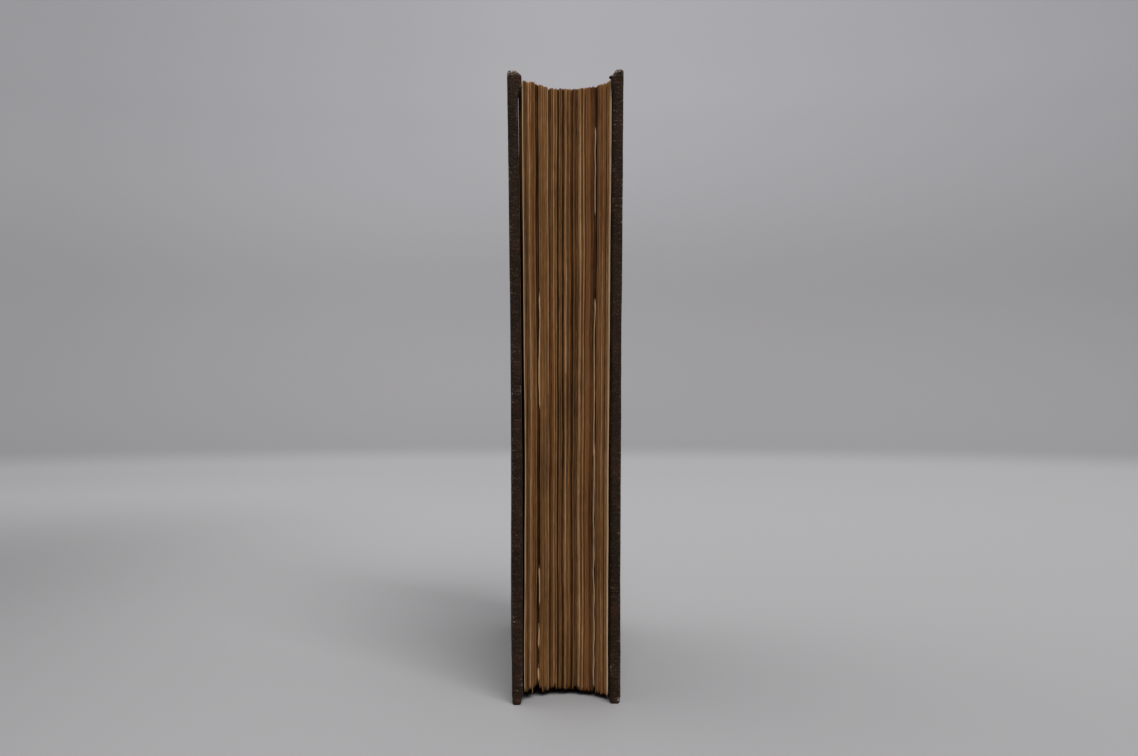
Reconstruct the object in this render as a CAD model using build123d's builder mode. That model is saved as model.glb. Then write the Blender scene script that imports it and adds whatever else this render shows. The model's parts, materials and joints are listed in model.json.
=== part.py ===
from build123d import *
from math import acos, cos, degrees, radians, sin, sqrt
import os

os.makedirs("parts", exist_ok=True)

# An antique leather book standing on its tail, fore-edge towards -Y, spine towards +Y.
# The front cover is on the -X side. Sizes in millimetres.

# Covers
cover_height = 230.0
hinge_depth = 149.0  # fore-edge of the covers back to the hinge lines
joint_width = 3.4  # bare leather between a board and its hinge line
board_thickness = 2.42
cover_leather = 0.7
joint_leather = 0.5  # the leather is pared thinner where it bends
cover_round = 1.1  # worn rounding of the covers' head and tail edges
fore_edge_share = 0.9  # the fore-edges are rounded by this share of it
tail_wear = 0.05  # how far the tail edges are worn flat where the book stands on them
turn_in = 13.0  # how far the leather is turned over inside the covers
front_bow = 2.0  # how far the front cover's head stands out at the fore-edge
back_bow = 1.3

# Leaves
leaves_thickness = 30.0
flyleaf_thickness = 0.3
gap_to_covers = 0.6
tail_square = 2.4  # floor to the leaves' tail
head_square = 3.2  # leaves' head to the covers' head
fore_square = 3.75  # covers' fore-edge back to the leaves
fore_hollow = 8.5
fan_at_head = 1.2  # the leaves spread this much on each side at the head
fan_start = 90.0
gatherings = 24
groove_width = 0.36
groove_depth = 0.5
head_line_depth = 0.3

# Rounded and backed spine
shoulder_rise = 3.3  # how far a shoulder stands out beyond the leaves
shoulder_length = 3.0
spine_rise = 10.5
paste_line = 0.05  # glue between the spine's layers
lining_thickness = 0.3
spine_leather_thickness = 0.7
joint_relief = 1.0  # the spine leather stops this far behind the hinge lines

# Sewing cords and raised bands
cord_diameter = 3.2
cord_flat = 0.3  # the cords are flattened this much against the folds of the leaves
cord_count = 5
tail_panel = 40.0  # covers' tail up to the lowest cord
head_panel = 34.0  # covers' head down to the highest cord
band_top_width = 4.4
band_foot_width = 6.6
band_round = 1.9
cord_half_angle = 57.0
cord_to_lining = 0.5
lining_margin = 3.0  # degrees from the linings' edges to the spine leather's

# Cord ends laced into the boards
slip_length = 14.0
slip_width = 5.0
slip_thickness = 0.8
slip_round = 2.0

# Caps and end bands
cap_leather = 0.9
cap_depth = 3.2  # how far a cap reaches in over the end band
cap_round = 1.3
cap_tip_round = 0.4
end_band_width = 2.0
end_band_inset = 0.6
end_band_clearance = 0.3
end_band_half_angle = 50.0
end_band_width_share = 0.45  # the end bands' rounding, as a share of their width
end_band_height_share = 0.6  # and at most this share of their height

# Pastedowns
pastedown_lift = 0.15  # how far the paper stands above the turned-in leather
pastedown_lap = 5.0  # how far the paper laps over the turned-in leather

# The spine's layers, out from the axis that the back is rounded about
shoulder_half = leaves_thickness / 2 + shoulder_rise
back_radius = (shoulder_half**2 + spine_rise**2) / (2 * spine_rise)
lining_inner = back_radius + paste_line
lining_outer = lining_inner + lining_thickness
leather_inner = lining_outer + paste_line
leather_outer = leather_inner + spine_leather_thickness
band_height = cord_diameter - cord_flat - (leather_inner - lining_inner)

# Places along the book, with the whole depth centred on zero
depth = hinge_depth + spine_rise + leather_outer - back_radius + band_height
fore_y = -depth / 2
hinge_y = fore_y + hinge_depth
board_y = hinge_y - joint_width
leaves_y = fore_y + fore_square
shoulder_y = hinge_y - shoulder_length
back_centre_y = hinge_y + spine_rise - back_radius

# Heights
leaves_tail = tail_square
leaves_head = cover_height - head_square

# Places across the book, from the middle plane
leaves_half = leaves_thickness / 2
cover_inner = leaves_half + flyleaf_thickness + gap_to_covers
board_inner = cover_inner + cover_leather
board_outer = board_inner + board_thickness
cover_outer = board_outer + cover_leather
hinge_x = cover_outer - joint_leather / 2

# The raised bands fade into the joints: their crest is an arc that meets the spine leather's two ends
spine_half_angle = degrees(acos((hinge_y + joint_relief - back_centre_y) / leather_outer))
spine_end_x = leather_outer * sin(radians(spine_half_angle))
crest_rise = depth / 2 - (hinge_y + joint_relief)
crest_radius = (spine_end_x**2 + crest_rise**2) / (2 * crest_rise)
crest_centre_y = depth / 2 - crest_radius
cord_pitch = (cover_height - head_panel - tail_panel) / (cord_count - 1)
cord_heights = [tail_panel + i * cord_pitch for i in range(cord_count)]


def radial_plane(centre_y, half_angle):
    """Upright plane through a vertical axis, turned from the middle of the spine towards the back cover."""
    a = radians(half_angle)
    return Plane(origin=(0, centre_y, 0), x_dir=(sin(a), cos(a), 0), z_dir=(cos(a), -sin(a), 0))


def spine_axis(centre_y):
    """Vertical axis that a layer of the spine is rounded about."""
    return Axis((0, centre_y, 0), (0, 0, 1))


def fore_edge_y(x):
    """Place of the hollow fore-edge at a distance from the middle of the leaves."""
    radius = (leaves_half**2 + fore_hollow**2) / (2 * fore_hollow)
    return leaves_y + fore_hollow - radius + sqrt(radius**2 - x**2)


def gathering_seams(spread):
    """Where neighbouring gatherings meet on the fore-edge, with the leaves fanned by spread."""
    pitch = leaves_thickness / gatherings
    flat = [-leaves_half + i * pitch for i in range(1, gatherings)]
    stretch = 1 + spread / leaves_half
    return [(x * stretch, fore_edge_y(x), x) for x in flat]


def leaves_outline(spread):
    """Plan of the leaves from the front shoulder, along the fore-edge, to the back shoulder."""
    half = groove_width / 2
    points = [(-shoulder_half, hinge_y), (-leaves_half, shoulder_y), (-leaves_half - spread, leaves_y)]
    for x, y, flat_x in gathering_seams(spread):
        points.append((x - half, fore_edge_y(flat_x - half)))
        points.append((x, y + groove_depth))
        points.append((x + half, fore_edge_y(flat_x + half)))
    points += [(leaves_half + spread, leaves_y), (leaves_half, shoulder_y), (shoulder_half, hinge_y)]
    return points


def seam_lines(spread):
    """Plan of the seams over the head or tail: straight, then turned out over the shoulders."""
    lines = []
    for x, y, flat_x in gathering_seams(spread):
        at_back = flat_x * shoulder_half / leaves_half
        back_y = back_centre_y + sqrt(back_radius**2 - at_back**2)
        lines.append([(x, y), (flat_x, shoulder_y), (at_back, back_y)])
    return lines


# Leaves: one solid, with the gatherings' seams on three edges
with BuildPart() as text_block:
    for height, spread in ((leaves_tail, 0), (fan_start, 0), (leaves_head, fan_at_head)):
        with BuildSketch(Plane.XY.offset(height)):
            with BuildLine():
                outline = leaves_outline(spread)
                Polyline(*outline)
                ThreePointArc(outline[-1], (0, hinge_y + spine_rise), outline[0])
            make_face()
    loft(ruled=True)
    for height, spread, inward in ((leaves_head, fan_at_head, -1), (leaves_tail, 0, 1)):
        with BuildSketch(Plane.XY.offset(height)):
            for line in seam_lines(spread):
                with BuildLine():
                    Polyline(*line)
                trace(line_width=groove_width)
        extrude(amount=inward * head_line_depth, mode=Mode.SUBTRACT)
text_block.part.label = "text_block"
export_step(text_block.part, "parts/text_block.step")


def flyleaf(side):
    """Free half of an endpaper, lying on the outermost leaf. side is -1 at the front, 1 at the back."""
    with BuildPart() as leaf:
        for height, spread in ((leaves_tail, 0), (fan_start, 0), (leaves_head, fan_at_head)):
            with BuildSketch(Plane.XY.offset(height)):
                with BuildLine():
                    Polyline(
                        (side * leaves_half, shoulder_y),
                        (side * (leaves_half + spread), leaves_y),
                        (side * (leaves_half + spread + flyleaf_thickness), leaves_y),
                        (side * (leaves_half + flyleaf_thickness), shoulder_y),
                        close=True,
                    )
                make_face()
        loft(ruled=True)
    return leaf.part


for side, name in ((-1, "front_flyleaf"), (1, "back_flyleaf")):
    leaf = flyleaf(side)
    leaf.label = name
    export_step(leaf, f"parts/{name}.step")


# Linings: a strip of paper in each panel of the spine, between the cords
cord_clear = cord_diameter / 2 + cord_to_lining
lining_bottoms = [leaves_tail] + [z + cord_clear for z in cord_heights]
lining_tops = [z - cord_clear for z in cord_heights] + [leaves_head]
lining_half_angle = spine_half_angle - lining_margin
with BuildPart() as panel_linings:
    with BuildSketch(radial_plane(back_centre_y, lining_half_angle)):
        for low, high in zip(lining_bottoms, lining_tops):
            with Locations(((lining_inner + lining_outer) / 2, (low + high) / 2)):
                Rectangle(lining_thickness, high - low)
    revolve(axis=spine_axis(back_centre_y), revolution_arc=2 * lining_half_angle)
panel_linings.part.label = "panel_linings"
export_step(panel_linings.part, "parts/panel_linings.step")


def sewing_cord(height, growth):
    """A raised cord, fading towards the joints, flattened where it lies on the folds of the leaves."""
    radius = cord_diameter / 2
    with BuildPart() as cord:
        with BuildSketch(radial_plane(crest_centre_y, cord_half_angle)):
            with Locations((crest_radius - spine_leather_thickness - radius, height)):
                Circle(radius + growth)
        revolve(axis=spine_axis(crest_centre_y), revolution_arc=2 * cord_half_angle)
        with BuildSketch(Plane.XY.offset(height - cord_diameter)):
            with Locations((0, back_centre_y)):
                Circle(lining_inner)
        extrude(amount=2 * cord_diameter, mode=Mode.SUBTRACT)
    return cord.part


for i, height in enumerate(cord_heights, 1):
    cord = sewing_cord(height, 0)
    cord.label = f"sewing_cord_{i}"
    export_step(cord, f"parts/sewing_cord_{i}.step")


def end_band(low, high):
    """Worked band with a rounded top, standing on the leaves' head or hanging below their tail."""
    middle = back_radius - end_band_inset - end_band_width / 2
    with BuildPart() as band:
        with BuildSketch(radial_plane(back_centre_y, end_band_half_angle)) as section:
            with Locations((middle, (low + high) / 2)):
                Rectangle(end_band_width, high - low)
            away = section.vertices().group_by(Axis.Y)[-1 if low == leaves_head else 0]
            rounding = min(end_band_width_share * end_band_width, end_band_height_share * (high - low))
            fillet(away, rounding)
        revolve(axis=spine_axis(back_centre_y), revolution_arc=2 * end_band_half_angle)
    return band.part


cap_and_clearance = cap_leather + end_band_clearance
head_band = end_band(leaves_head, cover_height - cap_and_clearance)
head_band.label = "head_band"
export_step(head_band, "parts/head_band.step")
tail_band = end_band(cap_and_clearance, leaves_tail)
tail_band.label = "tail_band"
export_step(tail_band, "parts/tail_band.step")


# Spine leather: the panels and the two caps are one section turned round the back
with BuildPart() as spine_leather:
    with BuildSketch(radial_plane(back_centre_y, spine_half_angle)) as section:
        with BuildLine():
            Polyline(
                (leather_outer, 0),
                (leather_outer, cover_height),
                (leather_outer - cap_depth, cover_height),
                (leather_outer - cap_depth, cover_height - cap_leather),
                (leather_inner, cover_height - cap_leather),
                (leather_inner, cap_leather),
                (leather_outer - cap_depth, cap_leather),
                (leather_outer - cap_depth, 0),
                close=True,
            )
        make_face()
        fillet(section.vertices().group_by(Axis.X)[-1], cap_round)
        fillet(section.vertices().group_by(Axis.X)[0], cap_tip_round)
    revolve(axis=spine_axis(back_centre_y), revolution_arc=2 * spine_half_angle)

    # Raised bands, turned about the crest's own axis so that they fade towards the joints
    with BuildSketch(radial_plane(crest_centre_y, 90)):
        foot = crest_radius - band_height - spine_leather_thickness
        for height in cord_heights:
            with BuildLine():
                Polyline(
                    (foot, height - band_foot_width / 2),
                    (crest_radius, height - band_top_width / 2),
                    (crest_radius, height + band_top_width / 2),
                    (foot, height + band_foot_width / 2),
                    close=True,
                )
            band_face = make_face()
            fillet(band_face.vertices().group_by(Axis.X)[-1], band_round)
    revolve(axis=spine_axis(crest_centre_y), revolution_arc=180)

    # Nothing of the bands stays in front of the joints or inside the linings
    with BuildSketch():
        with Locations((0, hinge_y + joint_relief)):
            Rectangle(4 * leather_outer, depth, align=(Align.CENTER, Align.MAX))
    extrude(amount=cover_height, mode=Mode.SUBTRACT)
    with BuildSketch(Plane.XY.offset(leaves_tail)):
        with Locations((0, back_centre_y)):
            Circle(leather_inner)
    extrude(amount=leaves_head - leaves_tail, mode=Mode.SUBTRACT)
    for height in cord_heights:
        add(sewing_cord(height, paste_line), mode=Mode.SUBTRACT)
spine_leather.part.label = "spine_leather"
export_step(spine_leather.part, "parts/spine_leather.step")


def bow_offset(z, bow):
    """How far a cover stands out at a height, where it stands out by bow at its head."""
    radius = (cover_height**2 + bow**2) / (2 * bow)
    return radius - sqrt(radius**2 - z**2)


def cover_section(side, bow, y, x_span, z_span, corner):
    """Upright section of a cover's layer, square to the covers' depth."""
    here = bow * (hinge_y - y) / (hinge_y - fore_y)
    heights = (z_span[0], sum(z_span) / 2, z_span[1])
    near, far = [[(side * (x + bow_offset(z, here)), z) for z in heights] for x in x_span]
    with BuildSketch(Plane.XZ.offset(-y)) as section:
        with BuildLine():
            ThreePointArc(*near)
            ThreePointArc(*far)
            Line(near[0], far[0])
            Line(near[-1], far[-1])
        make_face()
        if corner:
            fillet(section.vertices(), corner)
    return section.sketch


def cover_layer(side, bow, x_span, y_span, z_span, corner=0):
    """A layer of a cover, bowed more and more from the joint towards the fore-edge."""
    with BuildPart() as layer:
        loft([cover_section(side, bow, y, x_span, z_span, corner) for y in reversed(y_span)], ruled=True)
        if corner:
            fillet(layer.faces().sort_by(Axis.Y)[0].edges(), fore_edge_share * corner)
    return layer.part


def make_cover(side, bow, name):
    """Board, laced-in slips, leather and pastedown of one cover."""
    whole = cover_layer(
        side, bow, (cover_inner, cover_outer), (fore_y, board_y), (-tail_wear, cover_height), cover_round
    )
    core = cover_layer(
        side,
        bow,
        (board_inner, board_outer),
        (fore_y + cover_leather, board_y),
        (cover_leather, cover_height - cover_leather),
        cover_round - cover_leather,
    )

    # Slips: the frayed ends of the cords, lying flush in channels in the board
    with BuildPart() as slips:
        with BuildSketch(Plane.YZ.offset(side * (board_outer - slip_thickness))) as channel:
            for height in cord_heights:
                with Locations((board_y, height)):
                    Rectangle(2 * slip_length, slip_width)
            fillet(channel.vertices().group_by(Axis.X)[0], slip_round)
        extrude(amount=side * board_thickness)
        add(core, mode=Mode.INTERSECT)
    slips.part.label = f"{name}_cord_slips"
    export_step(slips.part, f"parts/{name}_cord_slips.step")

    with BuildPart() as board:
        add(core)
        add(slips.part, mode=Mode.SUBTRACT)
    board.part.label = f"{name}_board"
    export_step(board.part, f"parts/{name}_board.step")

    # Leather: outside, over three edges and turned in, with the bare joint beside the spine
    window = cover_layer(
        side,
        bow,
        (cover_inner - cover_leather, board_inner + board_thickness / 2),
        (fore_y + turn_in, board_y),
        (turn_in, cover_height - turn_in),
    )
    with BuildPart() as leather:
        add(whole)
        split(bisect_by=Plane.XY)
        add(core, mode=Mode.SUBTRACT)
        add(window, mode=Mode.SUBTRACT)
        with BuildSketch(Plane.XY.offset(cover_round)):
            with Locations((side * hinge_x, board_y)):
                Rectangle(joint_leather, joint_width, align=(Align.CENTER, Align.MIN))
            with Locations((side * hinge_x, hinge_y)):
                Circle(joint_leather / 2)
        extrude(amount=cover_height - 2 * cover_round)
    leather.part.label = f"{name}_leather"
    export_step(leather.part, f"parts/{name}_leather.step")

    # Pastedown: paper and its filling in the window, lapped over the turned-in leather
    edge = turn_in - pastedown_lap
    with BuildPart() as pastedown:
        add(
            cover_layer(
                side,
                bow,
                (cover_inner - pastedown_lift, board_inner + board_thickness / 2),
                (fore_y + edge, board_y),
                (edge, cover_height - edge),
            )
        )
        add(core, mode=Mode.SUBTRACT)
        add(leather.part, mode=Mode.SUBTRACT)
    pastedown.part.label = f"{name}_pastedown"
    export_step(pastedown.part, f"parts/{name}_pastedown.step")


make_cover(-1, front_bow, "front")
make_cover(1, back_bow, "back")

print(f"depth {depth:.3f}, hinge lines at x {hinge_x:.3f}, y {hinge_y:.3f}, spine end x {spine_end_x:.3f}")
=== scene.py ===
# %% [markdown]
# # An antique leather book, dressed in Blender
# The construction comes packed as a fixed frame: boards, leaves, cords and leather at their real places.
# This lesson gives each of them its finish. Where a plain solid can't show the real thing, such as
# nearly two hundred browned leaf edges, it builds a mesh in the same place. We start by loading the
# frame, since every later size is read from it.

# %% Load the frame
import json
import math

import bpy
import numpy as np
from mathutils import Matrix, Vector, noise

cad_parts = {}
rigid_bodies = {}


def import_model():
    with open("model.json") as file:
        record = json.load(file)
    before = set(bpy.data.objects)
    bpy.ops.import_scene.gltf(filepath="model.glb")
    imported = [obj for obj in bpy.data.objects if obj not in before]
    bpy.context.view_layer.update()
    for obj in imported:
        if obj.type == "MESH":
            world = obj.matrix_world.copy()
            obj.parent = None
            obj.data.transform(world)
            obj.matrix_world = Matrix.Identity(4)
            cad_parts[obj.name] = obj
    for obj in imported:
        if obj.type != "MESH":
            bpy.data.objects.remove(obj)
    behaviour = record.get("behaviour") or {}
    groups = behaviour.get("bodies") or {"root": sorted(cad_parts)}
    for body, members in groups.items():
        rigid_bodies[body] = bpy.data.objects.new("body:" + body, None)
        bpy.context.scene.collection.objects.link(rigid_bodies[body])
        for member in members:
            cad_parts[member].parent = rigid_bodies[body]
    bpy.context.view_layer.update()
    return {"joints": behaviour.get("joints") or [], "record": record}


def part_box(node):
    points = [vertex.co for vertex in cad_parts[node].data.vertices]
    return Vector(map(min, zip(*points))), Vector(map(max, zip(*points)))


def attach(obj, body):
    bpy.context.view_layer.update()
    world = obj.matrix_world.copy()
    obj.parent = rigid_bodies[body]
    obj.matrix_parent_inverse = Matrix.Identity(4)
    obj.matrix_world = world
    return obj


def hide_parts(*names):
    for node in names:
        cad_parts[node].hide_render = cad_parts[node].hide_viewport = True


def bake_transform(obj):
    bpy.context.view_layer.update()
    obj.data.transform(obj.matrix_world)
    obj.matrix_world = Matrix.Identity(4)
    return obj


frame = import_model()

# %% [markdown]
# A bookbinder measures in millimetres, so the shapes are worked out in millimetres and turned into
# metres once, when a mesh is made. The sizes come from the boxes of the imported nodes. That keeps every
# piece where the construction has it, also after a change of size.

# %% Sizes in millimetres, from the frame
mm = 0.001


def node_box(name):
    """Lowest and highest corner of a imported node, in millimetres."""
    low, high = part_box(name)
    return np.array(low) / mm, np.array(high) / mm


hinges = {joint["name"]: np.array(joint["pos_m"]) / mm for joint in frame["joints"]}
hinge_x, hinge_y = hinges["back_hinge"][:2]
skin_low, skin_high = node_box("back_leather")
front_low = node_box("front_leather")[0]
board_low, board_high = node_box("back_board")
leaves_low, leaves_high = node_box("text_block")
flyleaf_low, flyleaf_high = node_box("back_flyleaf")
spine_low, spine_high = node_box("spine_leather")

joint_leather = 0.5
flyleaf_thickness = 0.3
cover_height = skin_high[2]
cover_inner = skin_low[0]
cover_outer = hinge_x + joint_leather / 2
fore_y = skin_low[1]
cover_depth = hinge_y - fore_y
board_y = board_high[1]
bows = {-1: -front_low[0] - cover_outer, 1: skin_high[0] - cover_outer}
leaves_fore_y = leaves_low[1]
leaves_tail = leaves_low[2]
leaves_head = leaves_high[2]
leaves_half = flyleaf_low[0]
fan_at_head = flyleaf_high[0] - leaves_half - flyleaf_thickness
shoulder_y = flyleaf_high[1]
bodies = {-1: "front_cover", 1: "back_cover"}
sides = {-1: "front", 1: "back"}
print("cover", round(cover_height, 1), "mm tall; leaves", round(2 * leaves_half, 1), "mm thick; bows", bows)

# %% [markdown]
# Leather and old paper are never flat. The same smooth noise gives them their waves, in one helper, so
# that each use says only how far apart its hills lie. A mesh helper stores each point's place at rest
# too: the finishes read it, and so the grain stays on the leather when a cover opens.

# %% Helpers for shapes
def hills(points, spacing, seed):
    """Smooth heights of about -1 to 1 at each point, with hills the given millimetres apart."""
    places = np.asarray(points, float) / spacing + 31.7 * seed
    return np.array([noise.noise(place) for place in places.tolist()])


def smooth(value, start, end):
    """0 before start and 1 after end, with a soft step between."""
    share = np.clip((np.asarray(value, float) - start) / (end - start), 0, 1)
    return share * share * (3 - 2 * share)


def bump_at(value, middle, half_width):
    """1 at the middle, falling softly to 0 at half_width from it."""
    return 1 - smooth(np.abs(np.asarray(value, float) - middle), 0, half_width)


def arc_radius(half_chord, rise):
    """Radius of an arc that rises that far over its chord."""
    return (half_chord**2 + rise**2) / (2 * rise)


def new_piece(name, points, faces, finish, marks=None):
    """A mesh object from points in millimetres, with its rest places and any other marks stored on it."""
    mesh = bpy.data.meshes.new(name)
    mesh.from_pydata((np.asarray(points) * mm).tolist(), [], faces)
    mesh.polygons.foreach_set("use_smooth", [True] * len(mesh.polygons))
    mesh.materials.append(finish)
    stored = mesh.attributes.new("rest_place", "FLOAT_VECTOR", "POINT")
    stored.data.foreach_set("vector", np.asarray(points, np.float32).ravel())
    for mark, values in (marks or {}).items():
        stored = mesh.attributes.new(mark, "FLOAT", "POINT")
        stored.data.foreach_set("value", np.asarray(values, np.float32).ravel())
    piece = bpy.data.objects.new(name, mesh)
    bpy.context.scene.collection.objects.link(piece)
    return piece


def grid_faces(rows, columns, flip=False):
    """Quads of a grid of points stored row by row."""
    low = (np.arange(rows - 1)[:, None] * columns + np.arange(columns - 1)).ravel()
    quads = np.stack([low, low + 1, low + columns + 1, low + columns], axis=1)
    return (quads[:, ::-1] if flip else quads).tolist()


def tube_faces(rings, around, flip=False):
    """Quads of a closed tube, whose points are stored ring by ring, and a face over each end."""
    faces = []
    for first in range(0, (rings - 1) * around, around):
        pairs = [(first + i, first + (i + 1) % around) for i in range(around)]
        faces += [[low, high, high + around, low + around] for low, high in pairs]
    faces.append(list(range(around))[::-1])
    faces.append(list(range((rings - 1) * around, rings * around)))
    return [face[::-1] for face in faces] if flip else faces


def thicken(piece, thickness):
    """Gives a one-sided sheet its thickness, inwards from the side that its faces show."""
    shell = piece.modifiers.new("thickness", "SOLIDIFY")
    shell.thickness = thickness * mm
    shell.offset = -1
    shell.use_even_offset = False
    shown = piece.evaluated_get(bpy.context.evaluated_depsgraph_get())
    thick = bpy.data.meshes.new_from_object(shown)
    thick.name = piece.data.name
    piece.modifiers.clear()
    piece.data = thick


# %% [markdown]
# A finish is a small node tree. Written as plain arithmetic it reads like the recipe it is, so a
# wrapped socket takes + - * / and adds the Math nodes itself. Colours go through Mix nodes instead,
# because a Math node would turn them grey.

# %% Helpers for finishes
class Wire:
    """An output socket that can be used in arithmetic with numbers and with other sockets."""

    def __init__(self, finish, socket):
        self.finish = finish
        self.socket = socket

    def maths(self, operation, *values):
        return self.finish.node("Math", {"operation": operation}, dict(enumerate(values)))

    def __add__(self, other):
        return self.maths("ADD", self, other)

    def __sub__(self, other):
        return self.maths("SUBTRACT", self, other)

    def __rsub__(self, other):
        return self.maths("SUBTRACT", other, self)

    def __mul__(self, other):
        return self.maths("MULTIPLY", self, other)

    __radd__ = __add__
    __rmul__ = __mul__


class Finish:
    """A material under construction, on one Principled shader with that much shine."""

    def __init__(self, name, shine):
        self.material = bpy.data.materials.new(name)
        self.material.use_nodes = True
        self.nodes = self.material.node_tree.nodes
        self.links = self.material.node_tree.links
        self.shader = self.nodes["Principled BSDF"]
        self.shader.inputs["Specular IOR Level"].default_value = shine

    def connect(self, socket, value):
        if isinstance(value, Wire):
            self.links.new(value.socket, socket)
        elif socket.type == "RGBA" and len(value) == 3:
            socket.default_value = (*value, 1)
        else:
            socket.default_value = value

    def node(self, kind, settings=None, sockets=None, output=0):
        """Adds a node: its settings first, a ramp's stops among them, then its sockets by name or number."""
        made = self.nodes.new("ShaderNode" + kind)
        for setting, value in (settings or {}).items():
            if setting != "stops":
                setattr(made, setting, value)
                continue
            while len(made.color_ramp.elements) < len(value):
                made.color_ramp.elements.new(1)
            for stop, (place, colour) in zip(made.color_ramp.elements, value):
                stop.position = place
                stop.color = (*colour, 1)
        for socket, value in (sockets or {}).items():
            self.connect(made.inputs[socket], value)
        return Wire(self, made.outputs[output])

    def place(self, stored=True):
        """Where a point lies at rest, in millimetres: stored on a made mesh, worked out on a packed one."""
        if stored:
            return self.node("Attribute", {"attribute_name": "rest_place"}, output=1)
        where = self.node("TexCoord", output=3)
        return self.stretch(where, (1 / mm, 1 / mm, 1 / mm))

    def mark(self, name):
        return self.node("Attribute", {"attribute_name": name}, output=2)

    def stretch(self, vector, factors):
        return self.node("VectorMath", {"operation": "MULTIPLY"}, {0: vector, 1: factors})

    def shift(self, vector, other):
        return self.node("VectorMath", {"operation": "ADD"}, {0: vector, 1: other})

    def axis(self, vector, number):
        return self.node("SeparateXYZ", None, {0: vector}, number)

    def clouds(self, vector, scale, detail=4.0, output=0):
        """Soft noise. Three scales in place of one draw it out along an axis."""
        if isinstance(scale, tuple):
            vector = self.stretch(vector, scale)
            scale = 1.0
        return self.node("TexNoise", None, {"Vector": vector, "Scale": scale, "Detail": detail}, output)

    def cells(self, vector, scale, feature="F1"):
        return self.node("TexVoronoi", {"feature": feature}, {"Vector": vector, "Scale": scale})

    def step(self, value, start, end):
        """0 before start and 1 after end, softly."""
        sockets = {"Value": value, "From Min": start, "From Max": end}
        return self.node("MapRange", {"interpolation_type": "SMOOTHSTEP"}, sockets)

    def mix(self, factor, first, second, blend="MIX"):
        """Mixes two colours."""
        sockets = {0: factor, 6: first, 7: second}
        return self.node("Mix", {"data_type": "RGBA", "blend_type": blend}, sockets, 2)

    def done(self, colour, roughness, height=None, depth=0.0):
        """Feeds the shader, which rises by depth millimetres where height is 1, and hands it over."""
        self.connect(self.shader.inputs["Base Color"], colour)
        self.connect(self.shader.inputs["Roughness"], roughness)
        if height:
            relief = self.node("Bump", None, {"Height": height, "Distance": depth * mm})
            self.connect(self.shader.inputs["Normal"], relief)
        return self.material


def shade(red, green, blue):
    """A colour as it is seen on screen, 0 to 255, turned into the linear values that a shader works in."""
    seen = [channel / 255 for channel in (red, green, blue)]
    return tuple(c / 12.92 if c <= 0.04045 else ((c + 0.055) / 1.055) ** 2.4 for c in seen)


# %% [markdown]
# ## Binding leather
# Dark brown goatskin with a pebbled grain: small rounded cells with fine valleys between, and long
# creases where it has been pulled over an edge. Where it is handled it wears paler, redder and
# smoother. A texture picture would stretch round the edges, so the grain is solid noise that the
# leather is cut through. The mesh carries a mark that says where hands have been. Along the
# arrises of the covers' fore-edges the same mark also paints a pale highlight in the worn colour.

# %% Finish of the binding leather
leather_dark = shade(24, 15, 8)
leather_brown = shade(66, 48, 33)
# Pale worn leather; the same colour also paints the highlight along the covers' fore-edge arrises
leather_pale_wear_and_highlight = shade(150, 134, 120)
leather_red = shade(72, 40, 27)
pebble_rate = 0.95
crease_rate = (0.21, 0.21, 1.092)


def leather_finish():
    leather = Finish("binding_leather_finish", shine=0.1)
    place = leather.place()
    warp = leather.stretch(leather.clouds(place, 0.4, 2.0, output=1), (1.1, 1.1, 1.1))
    grain_place = leather.shift(place, warp)
    valleys = leather.cells(grain_place, pebble_rate, "DISTANCE_TO_EDGE")
    pebbles = leather.step(valleys, 0.0, 0.26)
    creases = leather.clouds(grain_place, crease_rate, 5.0)
    fine = leather.clouds(place, 3.2)
    patches = leather.clouds(place, 0.05, 5.0)
    red_patches = leather.step(leather.clouds(place, 0.16, 3.0), 0.45, 0.7)
    rubbed = leather.mark("rubbed")
    reddened = leather.mark("reddened")
    tops = pebbles * leather.step(creases + (fine - 0.5) * 0.4, 0.36, 0.8)
    light = tops * 0.8 + leather.step(patches, 0.3, 0.72) * 0.16
    colour = leather.mix(light, leather_dark, leather_brown)
    colour = leather.mix(red_patches * 0.22, colour, leather_red)
    # Paler where worn, and the painted highlight along the fore-edge arrises in the same colour
    scuffs_and_highlight = leather.step(rubbed + (fine - 0.5) * 1.7 + (creases - 0.5) * 1.3, 0.42, 1.1)
    colour = leather.mix(scuffs_and_highlight * (0.15 + 0.85 * pebbles), colour, leather_pale_wear_and_highlight)
    colour = leather.mix(leather.step(reddened + (fine - 0.5) * 1.4, 0.3, 1.2) * 0.85, colour, leather_red)
    height = pebbles * 0.5 + creases * 0.4 + fine * 0.1
    roughness = 0.62 - 0.1 * scuffs_and_highlight + 0.12 * (1 - pebbles)
    return leather.done(colour, roughness, height, depth=0.32)


binding_leather = leather_finish()
print("made", binding_leather.name)

# %% [markdown]
# ## Old paper
# The edges of old leaves are browned by air and dust, each leaf a little differently, and the outermost
# ones stay paler. Each leaf of the mesh carries its own marks: how pale, how warm, and where it sinks
# between its neighbours; the finish darkens those sunk places as painted shade. Besides that it adds
# the streaks that run along a leaf, the stains that cross many leaves, fibres and specks, and a
# slightly paler tone low down, which is painted light.

# %% Finish of the leaf edges
edge_deep = shade(40, 25, 12)
edge_brown = shade(91, 65, 42)
edge_tan = shade(132, 92, 51)
edge_red = shade(114, 69, 38)
edge_pale = shade(172, 139, 104)


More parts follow.
